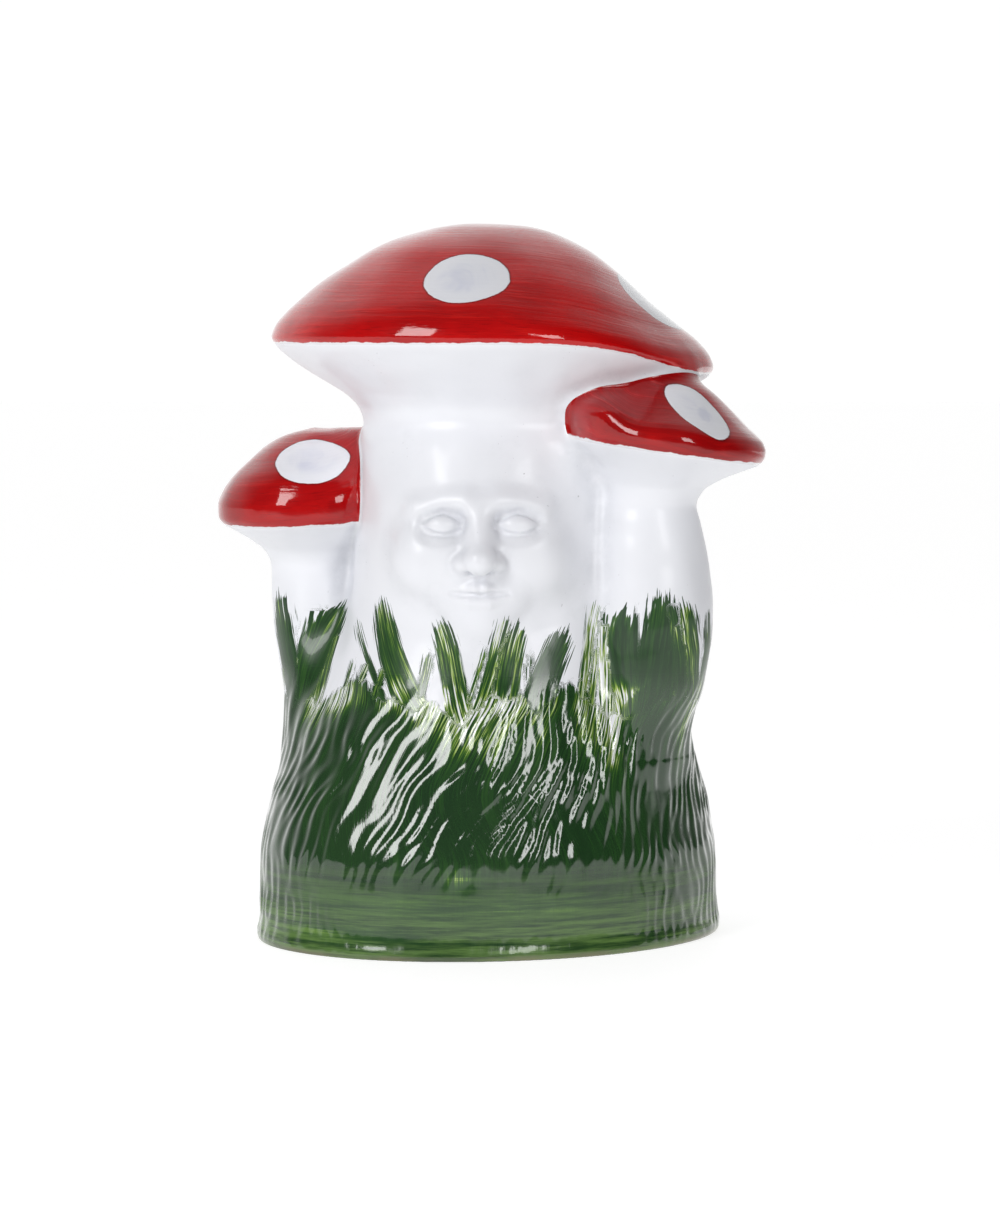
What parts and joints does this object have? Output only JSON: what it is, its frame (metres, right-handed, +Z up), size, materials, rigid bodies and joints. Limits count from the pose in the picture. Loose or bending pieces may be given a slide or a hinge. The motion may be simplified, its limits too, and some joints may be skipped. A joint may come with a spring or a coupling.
{
  "type": "toadstool cluster ornament",
  "caption": "Hollow glazed ceramic ornament of red-capped toadstools on a grassy mound, with a calm relief face on the middle stem; stands on its foot ring.",
  "frame": {"origin": "on the ground, under the middle of the part's box", "axes": "+Z up, front with the face towards -Y, tall right-hand toadstool towards +X"},
  "size_m": [0.1765, 0.126, 0.2301],
  "materials": {
    "red_glaze": "gloss clear glaze over brushed red underglaze with white spots",
    "white_glaze": "gloss clear glaze over white body, with green brush strokes at the foot of the stems",
    "green_glaze": "gloss clear glaze over brushed green underglaze"
  },
  "bodies": {
    "root": {"grass_mound": "green_glaze", "main_stem": "white_glaze", "left_stem": "white_glaze", "right_stem": "white_glaze", "main_cap": "red_glaze", "left_cap": "red_glaze", "right_cap": "red_glaze", "face_relief": "white_glaze"}
  },
  "joints": []
}
